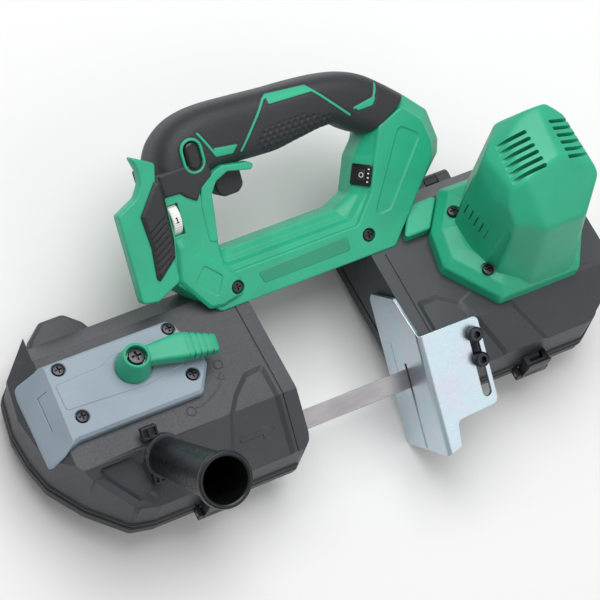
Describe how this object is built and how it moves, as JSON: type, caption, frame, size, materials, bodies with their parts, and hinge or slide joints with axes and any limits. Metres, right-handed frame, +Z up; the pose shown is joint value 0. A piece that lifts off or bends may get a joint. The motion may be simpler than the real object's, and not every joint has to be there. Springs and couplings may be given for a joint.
{
  "type": "portable band saw",
  "caption": "Hand-held cordless band saw with two wheel housings, a blade across the open throat, a work stop, a D-shaped handle, a motor and a side handle.",
  "frame": {"origin": "middle of the saw's box in plan, on the bench it lies on", "axes": "+X along the blade from the idler side to the drive side, +Y away from the cut, +Z up with the saw lying on its blade covers"},
  "size_m": [0.413, 0.2705, 0.1807],
  "materials": {
    "housing_plastic": "fine grained",
    "cover_plastic": "moulded",
    "green_plastic": "satin",
    "plate_plastic": "satin",
    "rubber": "soft moulded",
    "white_plastic": "satin",
    "zinc_steel": "zinc plated",
    "blade_steel": "ground",
    "black_steel": "black oxide",
    "bright_steel": "machined",
    "copper": "wound wire",
    "board_green": "coated board"
  },
  "bodies": {
    "frame": {"left_hinge_pin": "bright_steel", "right_hinge_pin": "bright_steel", "left_housing": "housing_plastic", "right_housing": "housing_plastic", "frame_bridge": "housing_plastic", "shaft_bearing": "bright_steel", "saw_blade": "blade_steel", "left_blade_guide": "bright_steel", "right_blade_guide": "bright_steel", "tension_plate": "plate_plastic", "plate_screw_1": "black_steel", "plate_screw_2": "black_steel", "plate_screw_3": "black_steel", "plate_screw_4": "black_steel", "motor_housing": "green_plastic", "motor_screw_1": "black_steel", "motor_screw_2": "black_steel", "gear_plate": "bright_steel", "stator": "copper", "handle_front_half": "green_plastic", "handle_rear_half": "green_plastic", "rubber_grip": "rubber", "handle_screw_1": "black_steel", "handle_screw_2": "black_steel", "switch_body": "cover_plastic", "control_panel": "cover_plastic", "battery_terminal_block": "cover_plastic", "guard_side_panel": "rubber", "controller_board": "board_green", "stop_bolt_1": "black_steel", "stop_bolt_2": "black_steel", "side_handle": "rubber"},
    "left_cover": {"left_blade_cover": "cover_plastic", "left_latch_pin": "bright_steel"},
    "right_cover": {"right_blade_cover": "cover_plastic", "right_latch_pin": "bright_steel"},
    "left_latch": {"left_latch": "cover_plastic"},
    "right_latch": {"right_latch": "cover_plastic"},
    "drive": {"drive_wheel": "bright_steel", "drive_tyre": "rubber", "drive_shaft": "bright_steel", "output_gear": "bright_steel"},
    "layshaft": {"layshaft_gears": "bright_steel"},
    "rotor": {"rotor": "bright_steel", "motor_fan": "rubber"},
    "lever": {"tension_lever": "green_plastic", "lever_screw": "black_steel", "tension_cam": "bright_steel"},
    "slide": {"tension_slide": "bright_steel", "idler_axle": "bright_steel", "idler_bearing": "bright_steel", "tension_spring": "bright_steel"},
    "idler": {"idler_wheel": "bright_steel", "idler_tyre": "rubber"},
    "trigger": {"trigger": "rubber"},
    "lock_button": {"lock_off_button": "rubber"},
    "dial": {"speed_dial": "white_plastic"},
    "mode_key": {"mode_key": "rubber"},
    "stop": {"stop_plate": "zinc_steel"}
  },
  "joints": [
    {"name": "left_cover_hinge", "type": "hinge", "parent": "frame", "child": "left_cover", "pos_m": [-0.1461, 0.04027, 0.01136], "axis": [1, 0, 0], "range_deg": [0, 100]},
    {"name": "right_cover_hinge", "type": "hinge", "parent": "frame", "child": "right_cover", "pos_m": [0.1414, 0.04909, 0.00958], "axis": [1, 0, 0], "range_deg": [0, 100]},
    {"name": "left_latch_hinge", "type": "hinge", "parent": "left_cover", "child": "left_latch", "pos_m": [-0.1076, -0.10657, 0.03695], "axis": [1, 0, 0], "range_deg": [0, 60]},
    {"name": "right_latch_hinge", "type": "hinge", "parent": "right_cover", "child": "right_latch", "pos_m": [0.1384, -0.09971, 0.03556], "axis": [1, 0, 0], "range_deg": [0, 60]},
    {"name": "drive_spin", "type": "hinge", "parent": "frame", "child": "drive", "pos_m": [0.142, -0.02499, 0.03781], "axis": [0, 0.198, 0.9802], "continuous": true},
    {"name": "layshaft_spin", "type": "hinge", "parent": "frame", "child": "layshaft", "pos_m": [0.159, -0.01786, 0.0731], "axis": [0, 0.198, 0.9802], "continuous": true},
    {"name": "rotor_spin", "type": "hinge", "parent": "frame", "child": "rotor", "pos_m": [0.142, -0.01786, 0.0731], "axis": [0, 0.198, 0.9802], "continuous": true},
    {"name": "lever_turn", "type": "hinge", "parent": "frame", "child": "lever", "pos_m": [-0.1322, -0.0108, 0.07167], "axis": [0, 0.198, 0.9802], "range_deg": [-120, 0]},
    {"name": "tension_travel", "type": "slide", "parent": "frame", "child": "slide", "axis": [1, 0, 0], "range_m": [0, 0.006]},
    {"name": "idler_spin", "type": "hinge", "parent": "slide", "child": "idler", "pos_m": [-0.1436, -0.02499, 0.03781], "axis": [0, 0.198, 0.9802], "continuous": true},
    {"name": "trigger_pull", "type": "slide", "parent": "frame", "child": "trigger", "axis": [0, 0.9057, 0.4238], "range_m": [0, 0.006], "stiffness_N_per_m": 800, "springref_m": -0.003},
    {"name": "lock_button_press", "type": "slide", "parent": "frame", "child": "lock_button", "axis": [0, 0.4238, -0.9057], "range_m": [0, 0.004], "stiffness_N_per_m": 500, "springref_m": -0.002},
    {"name": "dial_turn", "type": "hinge", "parent": "frame", "child": "dial", "pos_m": [-0.0718, 0.07023, 0.08821], "axis": [1, 0, 0], "range_deg": [-120, 120]},
    {"name": "mode_key_press", "type": "slide", "parent": "frame", "child": "mode_key", "axis": [0.7054, -0.007, -0.7087], "range_m": [0, 0.0008], "stiffness_N_per_m": 1500, "springref_m": -0.0004},
    {"name": "stop_slide", "type": "slide", "parent": "frame", "child": "stop", "axis": [0, 0.9057, 0.4238], "range_m": [0, 0.023]}
  ],
  "couplings": [
    {"joint": "layshaft_spin", "follows": "drive_spin", "ratio": -1.5},
    {"joint": "rotor_spin", "follows": "drive_spin", "ratio": 3.6667},
    {"joint": "idler_spin", "follows": "drive_spin", "ratio": 1},
    {"joint": "lever_turn", "follows": "tension_travel", "rad_per_m": -349.07}
  ]
}
